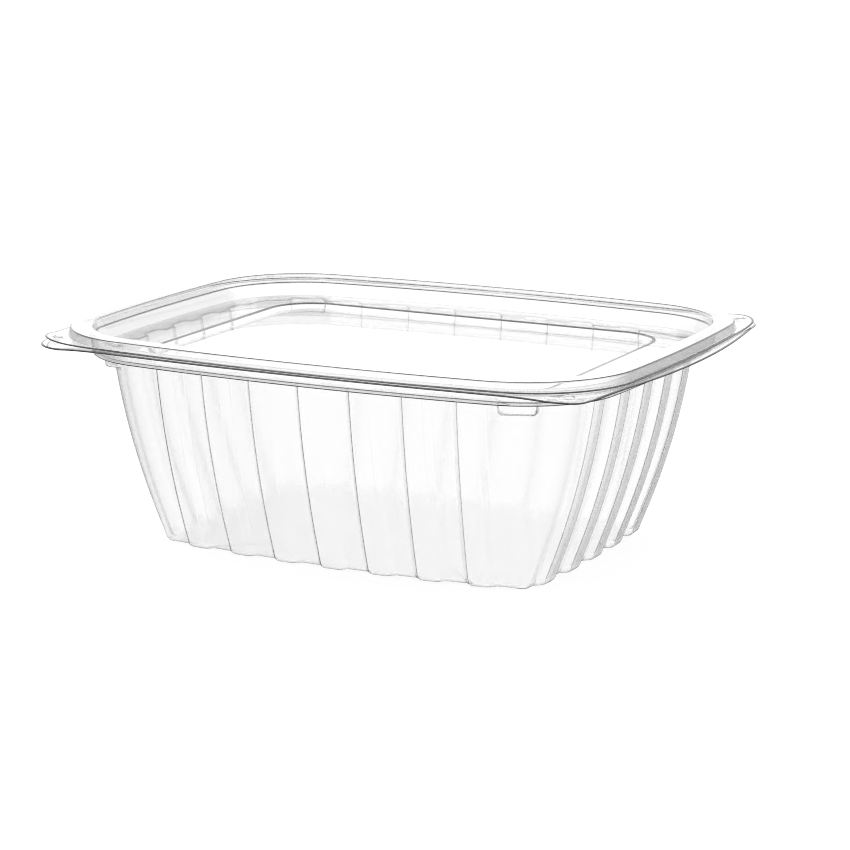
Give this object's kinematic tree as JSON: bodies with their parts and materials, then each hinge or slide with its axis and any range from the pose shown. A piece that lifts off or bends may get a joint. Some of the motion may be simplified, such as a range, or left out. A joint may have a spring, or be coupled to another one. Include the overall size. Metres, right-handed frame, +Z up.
{
  "type": "deli container",
  "caption": "Clear rectangular food container: a thin ribbed tub with bowed walls and a tabbed flange, closed by a lift-off lid with a raised ridge and a stacking recess.",
  "frame": {"origin": "middle of the tub's flat foot, on the surface it stands on", "axes": "+Z up, +X along the long walls, the front wall of the picture at -Y"},
  "size_m": [0.197, 0.1496, 0.068],
  "materials": {
    "clear_sheet": "clear, glossy thermoformed sheet"
  },
  "bodies": {
    "tub": {"tub": "clear_sheet"},
    "lid": {"lid": "clear_sheet"}
  },
  "joints": [
    {"name": "lid_lift", "type": "slide", "parent": "tub", "child": "lid", "axis": [0, 0, 1], "range_m": [0, 0.06]}
  ]
}
